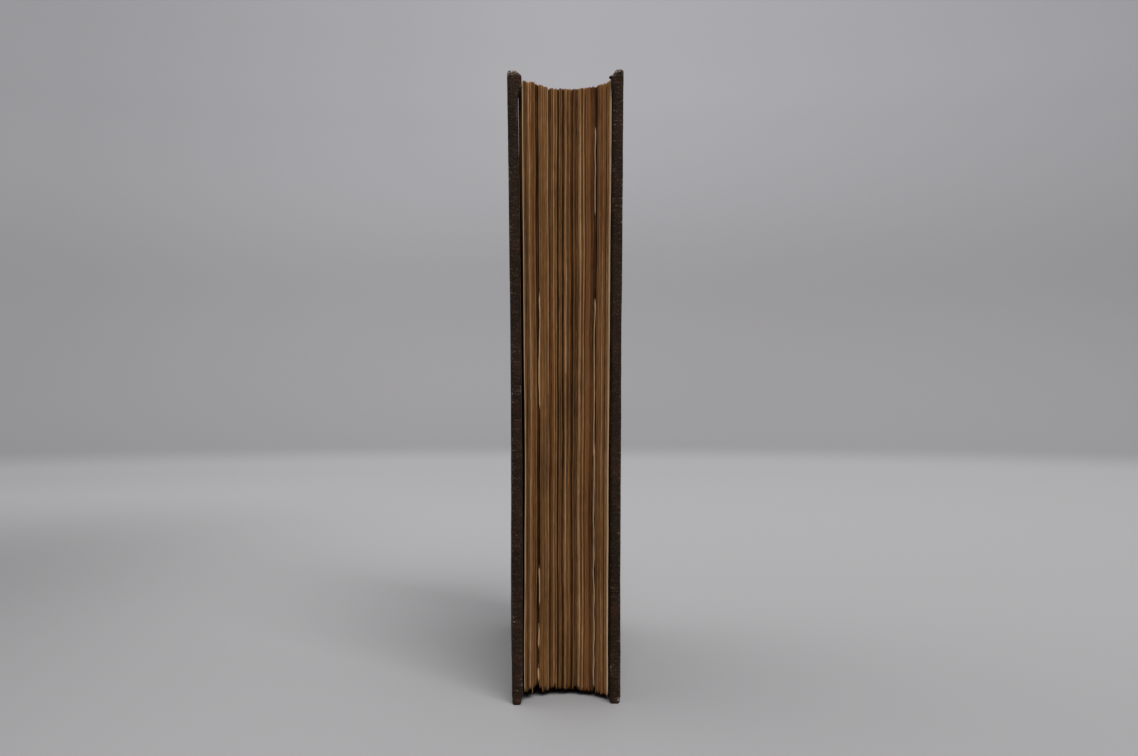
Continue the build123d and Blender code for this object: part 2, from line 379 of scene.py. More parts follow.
def leaf_edge_finish():
    paper = Finish("leaf_edge_finish", shine=0.04)
    place = paper.place()
    pale = paper.mark("pale")
    warm = paper.mark("warm")
    sunk = paper.mark("sunk")
    streaks = paper.clouds(place, (2.1, 0.4, 0.025), 6.0)
    fibres = paper.clouds(place, (3.4, 1.2, 0.22), 5.0)
    stains = paper.clouds(place, (0.09, 0.09, 0.03), 3.0)
    # Painted light: the leaves are made a little paler low down
    painted_light_low_down = 1 - paper.step(paper.axis(place, 2), 20, 110)
    tone = pale + (streaks - 0.5) * 0.75 + (stains - 0.5) * 0.55 + (fibres - 0.5) * 0.7 + painted_light_low_down * 0.05
    stops = [(0.0, edge_deep), (0.34, edge_brown), (0.68, edge_tan), (1.0, edge_pale)]
    colour = paper.node("ValToRGB", {"stops": stops}, {0: tone})
    colour = paper.mix(paper.step(warm + (stains - 0.5) * 0.5, 0.35, 1.1) * 0.75, colour, edge_red)
    # Painted shade: the gaps between leaves and the sunken parts are darkened towards the deepest brown
    colour = paper.mix(paper.step(sunk, 0.1, 1.0) * 0.8, colour, edge_deep)
    specks = paper.cells(place, 0.55)
    colour = paper.mix((1 - paper.step(specks, 0.04, 0.11)) * 0.35, colour, edge_deep)
    return paper.done(colour, 0.86 - 0.08 * fibres, fibres, depth=0.06)


leaf_edges = leaf_edge_finish()

# %% Finish of the endpapers
endpaper_tan = shade(160, 130, 94)
endpaper_brown = shade(134, 103, 69)
foxing_brown = shade(120, 78, 44)
endpaper_pale = shade(232, 198, 160)


def endpaper_finish(name, stored):
    paper = Finish(name, shine=0.04)
    place = paper.place(stored)
    clouds = paper.clouds(place, 0.02, 5.0)
    fibres = paper.clouds(place, (2.2, 2.2, 0.77), 5.0)
    spots = paper.cells(paper.shift(place, paper.clouds(place, 0.3, 2.0, output=1)), 0.11)
    foxing = (1 - paper.step(spots, 0.05, 0.24)) * paper.step(paper.clouds(place, 0.05, 2.0), 0.45, 0.62)
    colour = paper.mix(paper.step(clouds, 0.3, 0.72), endpaper_tan, endpaper_brown)
    colour = paper.mix(foxing * 0.7, colour, foxing_brown)
    colour = paper.mix(fibres * 0.16, colour, endpaper_brown)
    # A paler line along the flyleaf's fore-edge, its strength carrying the front side's painted shade
    colour = paper.mix(paper.mark("pale_edge") * (0.7 + 0.6 * fibres), colour, endpaper_pale)
    return paper.done(colour, 0.84 - 0.1 * fibres, fibres, depth=0.05)


endpaper = endpaper_finish("endpaper_finish", True)
print("made", leaf_edges.name, endpaper.name)

# %% [markdown]
# ## Leaves
# The fore-edge is what this book shows. Its leaves follow a hollow curve in gatherings, lean against
# each other, sink, stand proud and are chipped at their corners. A plain block with a striped picture
# would look painted, so every leaf gets its own strip of mesh, running from the spine along the tail,
# up the fore-edge and back along the head. Between two strips a third line of points sinks in, and that
# is the gap between two leaves, darkened further with painted shade.

# %% Thickness and marks of each leaf
gatherings = 24
leaves_in_gathering = 8
leaf_count = gatherings * leaves_in_gathering
most_proud = -0.3
chance = np.random.default_rng(1687)

# Groups of leaves from the front to the back: the share of the thickness where each ends, how pale,
# how warm, and how many millimetres it sinks behind its neighbours. The groups that sink deepest
# are also given a low paleness, which paints the shade of their gaps.
leaf_groups = [
    (0.012, 0.55, 0.2, 0.0),
    (0.045, 0.42, 0.5, 0.1),
    (0.090, 0.68, 0.2, 0.0),
    (0.140, 0.44, 0.3, 0.2),
    (0.185, 0.12, 0.3, 1.9),
    (0.300, 0.44, 0.1, 0.2),
    (0.345, 0.16, 0.6, 0.8),
    (0.400, 0.44, 0.0, 0.2),
    (0.420, 0.10, 0.3, 1.5),
    (0.485, 0.46, 0.2, 0.2),
    (0.505, 0.60, 0.2, 0.1),
    (0.555, 0.50, 0.1, 0.2),
    (0.585, 0.10, 0.2, 1.5),
    (0.645, 0.30, 0.2, 0.8),
    (0.722, 0.60, 0.1, 0.0),
    (0.752, 0.40, 0.8, 0.3),
    (0.790, 0.46, 0.7, 0.1),
    (0.815, 0.22, 0.7, 0.9),
    (0.838, 0.40, 0.4, 0.3),
    (0.863, 0.10, 0.5, 1.9),
    (0.955, 0.62, 0.6, 0.0),
    (0.987, 0.60, 0.6, 0.0),
    (1.000, 1.10, 0.1, -0.2),
]

leaf_widths = np.clip(1 + 0.38 * chance.standard_normal(leaf_count), 0.4, 2.1)
leaf_edges_at = np.concatenate([[0], np.cumsum(leaf_widths)]) / leaf_widths.sum()
leaf_middles = (leaf_edges_at[1:] + leaf_edges_at[:-1]) / 2
group_of_leaf = np.searchsorted([group[0] for group in leaf_groups], leaf_middles)
group_values = np.array(leaf_groups)[np.minimum(group_of_leaf, len(leaf_groups) - 1)]
gathering_of_leaf = np.arange(leaf_count) // leaves_in_gathering
gathering_tone = 0.05 * chance.standard_normal(gatherings)
gathering_sink = 0.16 * chance.standard_normal(gatherings)
bunch_of_leaf = np.cumsum(chance.random(leaf_count) < 0.42)
bunch_tone = 0.08 * chance.standard_normal(leaf_count)
bunch_sink = 0.2 * chance.standard_normal(leaf_count)
leaf_pale = group_values[:, 1] + gathering_tone[gathering_of_leaf] + bunch_tone[bunch_of_leaf]
leaf_pale += 0.18 * chance.standard_normal(leaf_count)
leaf_warm = group_values[:, 2] + 0.35 * chance.standard_normal(leaf_count)
leaf_sink = group_values[:, 3] + gathering_sink[gathering_of_leaf] + bunch_sink[bunch_of_leaf]

# A few single leaves sank deep between their neighbours and are painted darker, painted shade; a few
# stand out and are painted paler, painted light
sunken = chance.random(leaf_count) < 0.11
leaf_sink += sunken * (0.7 + 1.2 * chance.random(leaf_count))
leaf_pale -= sunken * 0.2
standing = ~sunken & (chance.random(leaf_count) < 0.08)
leaf_sink -= standing * 0.3
leaf_pale += standing * 0.16
leaf_sink = np.maximum(leaf_sink, most_proud)
print("leaves:", leaf_count, "mean thickness", round(2 * leaves_half / leaf_count, 3), "mm")

# %% [markdown]
# Each leaf gives two columns of points, its two faces, and each gap gives one. A column knows its leaf,
# its place across the book, and how far it sinks. Then the rows: few along the hidden tail and head,
# closer at the corners where leaves are chipped, and one every rise_step up the fore-edge.

# %% Columns and rows of the leaves
gap_share = 0.08
leaf_columns = []
for leaf in range(leaf_count):
    start, end = leaf_edges_at[leaf : leaf + 2]
    half_gap = gap_share * (end - start)
    leaf_columns += [(leaf, start + half_gap, 0), (leaf, end - half_gap, 0)]
    if leaf < leaf_count - 1:
        last_of_gathering = (leaf + 1) % leaves_in_gathering == 0
        last_of_bunch = bunch_of_leaf[leaf] != bunch_of_leaf[leaf + 1]
        sinks = 0.3 + 0.9 * chance.random() if last_of_gathering or last_of_bunch else 0.2
        leaf_columns.append((leaf, end, sinks))
column_leaf, column_share, column_gap = np.array(leaf_columns).T
column_leaf = column_leaf.astype(int)
column_x = leaves_half * (2 * column_share - 1)
is_gap = column_gap > 0
next_leaf = column_leaf + is_gap

hollow = 8.5
hollow_radius = arc_radius(leaves_half, hollow)
hollow_y = leaves_fore_y + hollow - hollow_radius + np.sqrt(hollow_radius**2 - column_x**2)
shoulder_half = leaves_high[0]
back_radius = arc_radius(shoulder_half, leaves_high[1] - hinge_y)
back_centre_y = leaves_high[1] - back_radius
column_back_x = column_x * shoulder_half / leaves_half
column_back_y = back_centre_y + np.sqrt(np.maximum(back_radius**2 - column_back_x**2, 0))
fan_start = 90.0


def block_lean(z):
    """How far the leaves have settled towards the back cover at that height."""
    return 0.08 + 0.22 * smooth(z, 15, 90)


def block_fan(z):
    """How far the outermost leaves stand out at that height, because the block fans open."""
    return fan_at_head * np.clip((z - fan_start) / (leaves_head - fan_start), 0, 1)


def of_columns(of_leaves):
    """Spreads a value of each leaf to its columns. A gap takes the larger one of its two leaves."""
    return np.maximum(of_leaves[..., column_leaf], of_leaves[..., next_leaf])


# A row is a share of the way from the shoulder to the fore-edge, or, below zero, to the back
edge_rows = np.array([-1, -0.6, -0.25, 0, 0.15, 0.35, 0.55, 0.73, 0.85, 0.92, 0.955, 0.975, 0.988, 0.996])
corner_steps = np.array([0, 0.5, 1.2, 2.2, 3.6, 5.4])
rise_step = 2.2
rise = leaves_head - leaves_tail
middle_rows = np.arange(corner_steps[-1] + rise_step, rise - corner_steps[-1] - rise_step / 2, rise_step)
fore_rows = np.concatenate([corner_steps, middle_rows, rise - corner_steps[::-1]])
print("columns", len(column_x), "rows", 2 * len(edge_rows) + len(fore_rows))

# %% [markdown]
# Time breaks leaves at their corners. A chip is a cut across the corner: a point inside it is pushed
# out to the cut's line. Every leaf gets a small one, and a few runs of leaves get the larger ones that
# the book has lost at its tail. A chip is kept as two numbers, how tall and how deep it is.

# %% Corner chips
leaf_chip_tail = np.outer([1.0, 1.6], 0.2 + 1.3 * chance.random(leaf_count) ** 3)
leaf_chip_head = np.outer([1.0, 1.0], 0.15 + 0.45 * chance.random(leaf_count) ** 2)
bunch_lift = 0.95 * chance.random(leaf_count) ** 2
leaf_lift = bunch_lift[bunch_of_leaf] + 0.5 * chance.random(leaf_count) ** 2
leaf_drop = 0.3 * bunch_lift[bunch_of_leaf] + 0.25 * chance.random(leaf_count) ** 2

# Larger losses at the tail: where they start and end across the book, and how tall they are
tail_losses = [
    (0.000, 0.090, 1.2),
    (0.100, 0.178, 1.9),
    (0.178, 0.210, 1.0),
    (0.330, 0.385, 0.9),
    (0.600, 0.660, 0.8),
]
for start, end, tall in tail_losses:
    lost = (leaf_middles >= start) & (leaf_middles <= end)
    leaf_chip_tail[:, lost] = np.outer([1.0, 3.5], tall * (0.75 + 0.5 * chance.random(lost.sum())))
    leaf_lift[lost] += 0.35 * tall * (0.7 + 0.6 * chance.random(lost.sum()))


def cut_corner(inward, along, tall, deep):
    """Pushes points that lie inside a corner cut that tall and deep out to its line."""
    share = np.maximum(1 - inward / deep - along / tall, 0) / 2
    return inward + share * deep, along + share * tall


# %% Place every point of the leaves
def leaf_points():
    """Points of the leaves, row by row, with how pale, warm and sunk each is, and the number of rows."""
    wavy = np.array([[x, 0, z] for z in fore_rows for x in column_x])
    lean = 0.36 * hills(wavy, (9, 1, 48), 3) + 0.16 * hills(wavy, (2.6, 1, 17), 4)
    lean = lean.reshape(len(fore_rows), -1) * smooth(leaves_half - np.abs(column_x), 0, 3)
    lean += block_lean(leaves_tail + fore_rows)[:, None]
    ragged = np.array([[leaf * 1.7, 0, z] for z in fore_rows for leaf in range(leaf_count)])
    leaf_wave = 0.16 * hills(ragged, (1, 1, 11), 5) + 0.1 * hills(ragged, (1, 1, 3.5), 6)
    leaf_depth = np.maximum(leaf_sink + leaf_wave.reshape(len(fore_rows), -1), most_proud)
    depth = of_columns(leaf_depth) + column_gap
    gap_rise = np.minimum(column_gap, 0.4)
    tail_z = leaves_tail + of_columns(leaf_lift) + gap_rise
    head_z = leaves_head - of_columns(leaf_drop) - gap_rise
    chip_tail = of_columns(leaf_chip_tail)
    chip_head = of_columns(leaf_chip_head)
    tail_reach = 0.5 + 0.5 * smooth(column_x, 0, 15)
    head_reach = 0.45 + 0.6 * smooth(np.abs(column_x), 5, 14)
    head_reach += 0.8 * bump_at(column_x, -10.5, 5) + 0.6 * smooth(column_x, 13.4, 14.8)

    def edge_row(share, base_z, up, chip, spread, front_lean, front_depth):
        if share < 0:
            x = column_x + (column_back_x - column_x) * -share
            y = shoulder_y + (column_back_y - shoulder_y) * -share
            return np.stack([x, y, base_z], axis=1)
        front_y = hollow_y + front_depth
        inward, along = cut_corner((front_y - shoulder_y) * (share - 1), 0, *chip)
        y = front_y + inward
        x = column_x * (1 + spread * share / leaves_half) + front_lean * share
        reach = tail_reach if up > 0 else head_reach
        return np.stack([x, y, base_z + up * (along - reach * share)], axis=1)

    rows = [edge_row(share, tail_z, 1, chip_tail, 0, lean[0], depth[0]) for share in edge_rows]
    lowest = tail_z - tail_reach
    highest = head_z + head_reach
    for i, height in enumerate(fore_rows):
        z = lowest + (highest - lowest) * height / rise
        inward, along = cut_corner(0, z - lowest, *chip_tail)
        z = lowest + along
        head_inward, head_along = cut_corner(0, highest - z, *chip_head)
        z = highest - head_along
        x = column_x * (1 + block_fan(z) / leaves_half) + lean[i]
        rows.append(np.stack([x, hollow_y + depth[i] + inward + head_inward, z], axis=1))
    for share in edge_rows[::-1]:
        rows.append(edge_row(share, head_z, -1, chip_head, fan_at_head, lean[-1], depth[-1]))
    points = np.concatenate(rows)
    row_count = len(rows)
    # Gaps get a dark tone and the sunk mark: painted shade between the leaves
    marks = {
        "pale": np.tile(np.where(is_gap, 0.1, leaf_pale[column_leaf]), row_count),
        "warm": np.tile(leaf_warm[column_leaf], row_count),
        "sunk": np.tile(is_gap, row_count),
    }
    return points, marks, row_count


block_points, block_marks, block_rows = leaf_points()
print("leaf points", len(block_points))

# %% Close the mesh of the leaves
def outer_face(column, first):
    """Points of the outermost leaf's face between its own edges, and the rows that join them up."""
    turned_rows = len(edge_rows)
    at = np.arange(block_rows) * len(column_x) + column
    tail, fore, head = np.split(at, [turned_rows, block_rows - turned_rows])
    back = np.array([column_back_x[column], column_back_y[column], 0])
    shoulder = np.array([column_x[column], shoulder_y, 0])
    upright = np.array([0, 0, 1])
    points = []
    rows = [[*tail, fore[0]]]
    for corner in fore[1:-1]:
        front = block_points[corner]
        level = front * upright
        for share in edge_rows:
            reach = (back - shoulder) * -share if share < 0 else (front - level - shoulder) * share
            points.append(shoulder + reach + level)
        start = first + len(points) - turned_rows
        rows.append([*range(start, start + turned_rows), corner])
    rows.append([*head[::-1], fore[-1]])
    return points, rows


def leaves_piece():
    """The mesh of all leaves, closed by the faces of the two outermost leaves and along the back."""
    columns = len(column_x)
    points = block_points.tolist()
    marks = {mark: values.tolist() for mark, values in block_marks.items()}
    faces = grid_faces(block_rows, columns)
    for column, outward in ((0, 1), (columns - 1, -1)):
        added, rows = outer_face(column, len(points))
        points += added
        for low, high in zip(rows, rows[1:]):
            for k in range(len(low) - 1):
                faces.append([low[k], low[k + 1], high[k + 1], high[k]][::outward])
        for values in marks.values():
            values += [values[column]] * len(added)
    top = (block_rows - 1) * columns
    faces += [[i + 1, i, top + i, top + i + 1] for i in range(columns - 1)]
    return new_piece("leaves", points, faces, leaf_edges, marks)


leaves = leaves_piece()
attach(leaves, "block")
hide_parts("text_block")
print("leaves have", len(leaves.data.polygons), "faces")

# %% [markdown]
# ## Covers
# One skin of leather wraps each board: over the outside, round three edges, and 13 mm in over the
# inside, with the corners mitred. It also runs on over the joint to the spine, and that strip is what
# bends when the cover opens. So the skin is made as the binder makes it: a sheet for the outside, then
# rings of points that walk round the edge and in. A Solidify modifier gives it its thickness.

# %% Grid of a cover's outside
edge_round = 1.05
skin_thickness = 0.62
turn_in = 13.0
row_step = 0.9
joint_step = 0.42
spine_seam_y = spine_low[1]
spine_seam_x = spine_high[0]


def growing_steps(start, end, first, last):
    """Places from start to end whose spacing grows from first to last."""
    places = [start]
    while places[-1] < end:
        share = (places[-1] - start) / (end - start)
        places.append(places[-1] + first + (last - first) * min(1, 2 * share))
    places = np.array(places)
    return start + (places - start) * (end - start) / (places[-1] - start)


cover_ys = growing_steps(fore_y + edge_round, board_y, 0.6, 3.2)
joint_ys = np.linspace(board_y, spine_seam_y, int((spine_seam_y - board_y) / joint_step) + 1)[1:]
cover_zs = np.linspace(edge_round, cover_height - edge_round, int(cover_height / row_step))


def edge_profile():
    """How far in from the cover's edge, and how far across its thickness, each ring of points lies."""
    thickness = cover_outer - cover_inner
    turns = np.radians([22.5, 45, 67.5, 90])
    outer = [(edge_round * (1 - math.sin(a)), edge_round * (1 - math.cos(a))) for a in turns]
    flat = [(0.0, thickness * share) for share in (0.45, 0.55)]
    inner = [(across_in, thickness - across) for across_in, across in reversed(outer)]
    inside = [(inset, thickness) for inset in (edge_round, 2.1, 3.2, 4.6, 6.4, 8.6, 10.8, turn_in)]
    return outer + flat + inner + inside


print("cover grid", len(cover_ys) + len(joint_ys), "by", len(cover_zs), "and", len(edge_profile()), "rings")

# %% [markdown]
# The places are first worked out for a flat cover. Then comes wear: a slightly ragged outline, shallow
# dents, and the marks that this book has, each placed by its height and side. Where a mark rubs the
# leather, the same mask is stored for the finish, so shape and colour agree. Last, the skin is bowed as
# the real cover is warped, more towards its head and fore-edge.

# %% Build one cover's flat skin
def flat_skin():
    """Places (across, y, z) of one skin, and its faces."""
    ys = np.concatenate([cover_ys, joint_ys])
    columns = len(ys)
    board_columns = len(cover_ys)
    past_hinge = smooth(ys, hinge_y - 0.2, spine_seam_y) * (cover_outer - spine_seam_x)
    points = [(cover_outer - past_hinge[j], y, z) for z in cover_zs for j, y in enumerate(ys)]
    faces = grid_faces(len(cover_zs), columns)
    tail = [(0, j) for j in range(board_columns - 1, 0, -1)]
    fore = [(i, 0) for i in range(len(cover_zs))]
    head = [(len(cover_zs) - 1, j) for j in range(1, board_columns)]
    rim = tail + fore + head
    last = [i * columns + j for i, j in rim]
    width = board_y - fore_y
    middle = cover_height / 2
    for inset, across in edge_profile():
        first = len(points)
        for i, j in rim:
            y = board_y - (board_y - ys[j]) * (width - inset) / (width - edge_round)
            z = middle + (cover_zs[i] - middle) * (middle - inset) / (middle - edge_round)
            points.append((cover_outer - across, y, z))
        new = list(range(first, first + len(rim)))
        faces += [[last[k], last[k + 1], new[k + 1], new[k]] for k in range(len(rim) - 1)]
        last = new
    return np.array(points), faces


skin_points, skin_faces = flat_skin()
print("one skin has", len(skin_points), "points before it gets its thickness")

# %% Wear marks of the two covers
bow_power = 2.0
corner_folds = {-1: 1.5, 1: 0.75}
extra_height = 1.0
nick_height = 202.5


def towards_corner(y, z, power):
    """0 along the hinge and the tail, and 1 at the corner of the cover's head and fore-edge."""
    up = np.clip(z, 0, cover_height) / cover_height
    return up**power * np.clip((hinge_y - y) / cover_depth, 0, 1)


def cover_wear(side, points):
    """Moves a skin's points as wear has, and says how worn and how reddened each is; the wear mark also
    carries a painted highlight along the fore-edge arrises.
    """
    across, y, z = points.T.copy()
    from_fore = y - fore_y
    from_head = cover_height - z
    share_in = (cover_outer - across) / (cover_outer - cover_inner)
    inner = smooth(share_in, 0.3, 0.85)
    edge = 1 - smooth(np.minimum(from_fore, np.minimum(z, from_head)), 0.2, 2.4)
    at_fore = 1 - smooth(from_fore, 2, 9)
    ripple = 0.14 * hills(points, (2.5, 2.5, 1.6), 11 + side) + 0.16 * hills(points, (9, 9, 12), 13 + side)
    y = y + edge * (0.3 * ripple + 0.10 * np.maximum(hills(points, (3, 3, 2.2), 17 + side), 0))
    dents = ripple * 0.4 + 0.12 * hills(points, (22, 22, 30), 19 + side)
    across = across + dents * np.where(inner > 0.5, -0.3, 1)
    rubbed = 0.36 * edge * (0.5 + 0.8 * hills(points, (5, 5, 8), 23 + side))
    crown = (1 - smooth(from_head, 0.8, 2.6)) * edge * (0.12 + 0.78 * at_fore)
    rubbed += crown * (0.7 + 0.8 * hills(points, (1.7, 1.7, 1.7), 25 + side))
    # Painted highlight: a pale line along the outer and inner arris of the fore-edge, stored with the wear
    painted_edge_highlight = bump_at(share_in, 0.1, 0.14) + 0.6 * bump_at(share_in, 0.94, 0.08)
    rubbed += 0.32 * painted_edge_highlight * at_fore * (0.8 + 0.6 * hills(points, (4, 4, 14), 29 + side))

    # The turned-in leather bulges where its corner is folded
    below_fold = smooth(from_head, 8.5, 5.2) * smooth(from_head, 0.5, 1.4)
    across = across - corner_folds[side] * at_fore * below_fold * smooth(share_in, 0.7, 0.95)
    if side < 0:
        # The front cover's foot is spread and reddened, and its fore-edge has a nick near the head
        foot = at_fore * (1 - smooth(z, 0.0, 4.5))
        across = across - 0.15 * foot * (1 - share_in) + 0.55 * foot * share_in
        reddened = 0.65 * at_fore * (1 - smooth(z, 0.5, 7.5))
        y = y + 0.3 * bump_at(z, nick_height, 1.4) * edge * (1 - inner)
    else:
        # The back cover is a little taller at its fore-edge, torn at the head and rubbed at the foot
        z = z - 0.9 * at_fore * smooth(from_head, 4.0, 0.6) * smooth(share_in, 0.7, 1.0)
        z = z + extra_height * towards_corner(y, z, 3)
        foot = at_fore * (1 - smooth(z, 0.0, 2.6))
        across = across - 0.3 * foot * (1 - share_in)
        lip = at_fore * bump_at(z, 1.7, 1.3) * (1 - smooth(share_in, 0.3, 0.7))
        rubbed += 0.65 * lip
        reddened = 0.5 * at_fore * bump_at(z, 2.2, 1.6)
        rubbed += 0.35 * at_fore * bump_at(from_head, 2.2, 1.6) * smooth(share_in, 0.5, 0.9)
    across = across + bows[side] * towards_corner(y, z, bow_power)
    return np.stack([side * across, y, z], axis=1), rubbed, reddened


def bend_over_joint(piece):
    """Bakes the piece's place into its mesh. It is not set up to bend over the joint."""
    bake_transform(piece)


def cover_skin(side):
    """The leather of one cover, with the strip that bends over the joint."""
    points, rubbed, reddened = cover_wear(side, skin_points)
    faces = [face[::-1] for face in skin_faces] if side < 0 else skin_faces
    marks = {"rubbed": rubbed, "reddened": reddened}
    skin = new_piece(sides[side] + "_cover_skin", points, faces, binding_leather, marks)
    thicken(skin, skin_thickness)
    bend_over_joint(skin)
    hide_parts(sides[side] + "_leather")
    return skin


skins = [cover_skin(side) for side in (-1, 1)]
print("each skin has", len(skins[0].data.polygons), "faces")

# %% [markdown]
# At the head of the back cover a scrap of the turned-in leather has torn loose and sticks out towards
# the leaves. It is a small tongue of its own: a grid that narrows to a tip and curls, thickened as the
# skin is.

# %% Torn scrap of leather
scrap_base = np.array([17.0, fore_y + 0.5, cover_height - 1.4])
scrap_rows = 9
scrap_columns = 7
scrap_thickness = 0.55


def torn_scrap():
    """A tongue of leather from its base to its tip, which curls up as it narrows."""
    tip = np.array([-0.95, 0.3, 0.1])
    wide = np.array([0.0, 1.9, -1.5])
    points = []
    for along in np.linspace(0, 1, scrap_rows):
        half = (1 - along) ** 0.7 * 0.5 + 0.03
        for aside in np.linspace(-1, 1, scrap_columns):
            point = scrap_base + along * tip + (0.5 + aside * half) * wide
            point[2] += 0.45 * math.sin(2.4 * along) * (1 - 0.5 * aside**2)
            points.append(point)
    points = np.array(points) + 0.05 * hills(points, (0.8, 0.8, 0.8), 27)[:, None]
    marks = {"rubbed": 0.25 + 0.3 * hills(points, (1, 1, 1), 28), "reddened": np.zeros(len(points))}
    faces = grid_faces(scrap_rows, scrap_columns, flip=True)
    scrap = new_piece("torn_leather_scrap", points, faces, binding_leather, marks)
    thicken(scrap, scrap_thickness)
    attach(scrap, bodies[1])
    return scrap


scrap = torn_scrap()
print("scrap reaches x", round(min(v.co.x for v in scrap.data.vertices) / mm, 2))

# %% [markdown]
# ## Spine
# The leather of the spine is moulded wet over five cords, nipped close at their sides with band
# nippers, and turned in at the head and tail, where it curls over the end bands as caps. One section,
# drawn from the tail to the head and back along the inside, is turned round the back's arc. The bands
# ride on a second arc that meets the joints, so they fade out by themselves.

# %% Section of the spine
spine_build_up = 1.1
leather_outer = back_radius + spine_build_up
spine_leather = 0.7
leather_inner = leather_outer - spine_leather
cap_leather = 0.9
cap_depth = 3.2
cap_round = 1.3
crest_radius = arc_radius(spine_seam_x, spine_high[1] - spine_low[1])
crest_offset = spine_high[1] - crest_radius - back_centre_y
seam_angle = math.acos((spine_seam_y - back_centre_y) / leather_outer)
cord_heights = [sum(node_box(f"sewing_cord_{i}")[k][2] for k in (0, 1)) / 2 for i in range(1, 6)]
band_half = 2.35
band_flank = 1.3
section_step = 0.7
inside_rows = 70
spine_columns = 91
print("bands at", [round(height, 1) for height in cord_heights])


def spine_section():
    """Outside of the section from the tail cap's tip to the head cap's tip, then back along the inside."""
    turns = np.radians(np.linspace(0, 90, 7))
    tail_tip = leather_outer - cap_depth
    tail = [(tail_tip, cap_leather / 2), (tail_tip + 0.3, 0.06), (tail_tip + 0.9, 0.0)]
    tail += [(leather_outer - cap_round * (1 - math.sin(a)), cap_round * (1 - math.cos(a))) for a in turns]
    rows = np.arange(cap_round + section_step, cover_height - cap_round, section_step)
    panel = [(leather_outer, z) for z in rows]
    head = [(r, cover_height - z) for r, z in reversed(tail)]
    inside_z = np.linspace(cover_height - cap_leather, cap_leather, inside_rows)
    inside = [(tail_tip + 0.35, cover_height - cap_leather)] + [(leather_inner, z) for z in inside_z]
    inside += [(tail_tip + 0.35, cap_leather)]
    return np.array(tail + panel + head), np.array(inside)


spine_outside, spine_inside = spine_section()
spine_angles = np.linspace(-seam_angle, seam_angle, spine_columns)

# %% Turn the section and raise the bands
def spine_skin():
    """The section turned round the back, with each band as high as the second arc leaves room for."""
    section = np.concatenate([spine_outside, spine_inside])
    outside = np.arange(len(section)) < len(spine_outside)
    section_radius, z = section.T
    from_cords = [np.abs(z - height) for height in cord_heights]
    band = sum(1 - smooth(away, band_half - 0.9, band_half + band_flank) for away in from_cords)
    nip = sum(bump_at(away, band_half + band_flank + 0.5, 1.6) for away in from_cords)
    caps = bump_at(z, 0, 2.5) + bump_at(z, cover_height, 2.5)
    points = []
    rubbed = []
    for angle in spine_angles:
        reach = crest_offset * math.cos(angle)
        reach += math.sqrt(crest_radius**2 - (crest_offset * math.sin(angle)) ** 2)
        lift = max(reach - leather_outer, 0)
        raised = lift * band - 0.14 * nip * min(1, lift / 0.8)
        radius = section_radius + np.where(outside, raised, 0)
        y = back_centre_y + radius * math.cos(angle)
        points.append(np.stack([radius * math.sin(angle), y, z], axis=1))
        worn = (0.55 * band * min(1, lift / 1.5) + 0.35 * caps) * math.cos(angle)
        rubbed.append(np.where(outside, worn, 0))
    points = np.concatenate(points)
    rubbed = np.concatenate(rubbed)
    dents = 0.10 * hills(points, (6, 6, 8), 31) + 0.05 * hills(points, (2, 2, 2), 32)
    outward = points - np.array([0, back_centre_y, 0])
    outward[:, 2] = 0
    outward /= np.linalg.norm(outward, axis=1)[:, None]
    points = points + outward * (dents * np.tile(outside, len(spine_angles)))[:, None]
    rubbed = rubbed * (0.8 + 0.5 * hills(points, (7, 7, 7), 33))
    faces = tube_faces(len(spine_angles), len(section))
    marks = {"rubbed": rubbed, "reddened": 0.0 * rubbed}
    skin = new_piece("spine_skin", points, faces, binding_leather, marks)
    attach(skin, "block")
    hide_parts("spine_leather")
    return skin


spine = spine_skin()
print("spine has", len(spine.data.polygons), "faces")

# %% [markdown]
# ## Flyleaves
# The free half of each endpaper lies on the outermost leaf. It is a thin sheet that has warped with
# damp, so its fore-edge waves a little and shows as a pale line beside the browner leaves. On the
# front flyleaf that line is painted weaker, as painted shade.

# %% Wavy flyleaves
pastedown_low = node_box("back_pastedown")[0][0]
flyleaf_clearance = 0.065
flyleaf_rows = 104
corner_loss = {-1: 1.6, 1: 0.0}
corner_gain = {-1: 0.5, 1: 1.0}
# How pale each flyleaf's fore-edge is: paler paper, painted weaker on the front side as painted shade
edge_paleness_and_painted_shade = {-1: 0.2, 1: 1.0}


